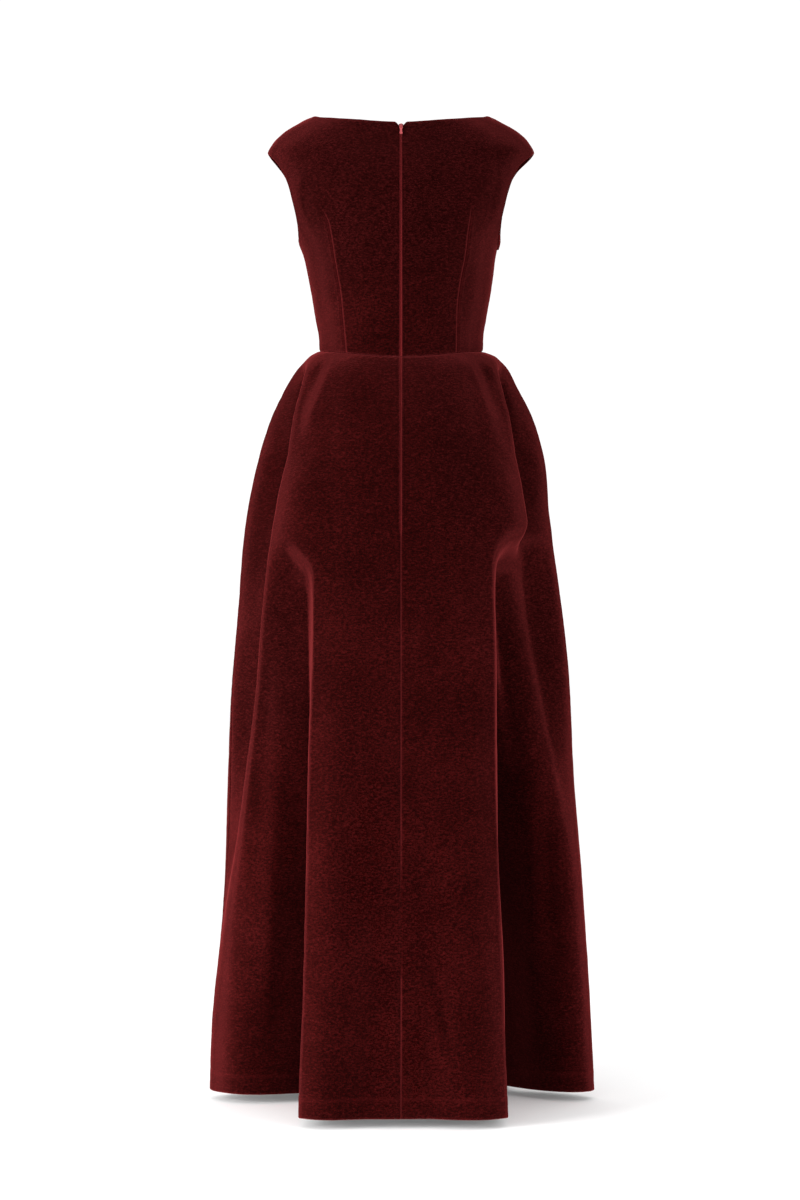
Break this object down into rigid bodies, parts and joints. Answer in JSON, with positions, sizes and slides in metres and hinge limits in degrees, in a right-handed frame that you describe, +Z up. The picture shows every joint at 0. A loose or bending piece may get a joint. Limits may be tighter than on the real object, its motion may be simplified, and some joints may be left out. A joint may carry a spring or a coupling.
{
  "type": "a-line gown",
  "caption": "Floor-length a-line gown, filled out as worn: boat neck, cap sleeves cut in one, darted bodice, waist seam, full folded skirt and a centre back zip.",
  "frame": {"origin": "midway between the tops of the two shoulders at the sides of the neck, where the gown is held", "axes": "+Z up the standing gown, the back with the zip faces -Y, the front +Y, the wearer's right is +X"},
  "size_m": [0.5738, 0.4181, 1.446],
  "materials": {
    "velvet": "velvet pile",
    "zip_tape": "woven tape",
    "zip_enamel": "satin enamel"
  },
  "bodies": {
    "gown": {"bodice_back_left": "velvet", "bodice_back_right": "velvet", "bodice_front": "velvet", "skirt_back_left": "velvet", "skirt_back_right": "velvet", "skirt_front": "velvet", "zip_tape_left": "zip_tape", "zip_tape_right": "zip_tape", "zip_slider": "zip_enamel"},
    "pull": {"zip_pull": "zip_enamel"}
  },
  "joints": [
    {"name": "pull_swing", "type": "hinge", "parent": "gown", "child": "pull", "pos_m": [0, -0.08492, -0.027], "axis": [-1, 0, 0], "range_deg": [0, 150]}
  ]
}
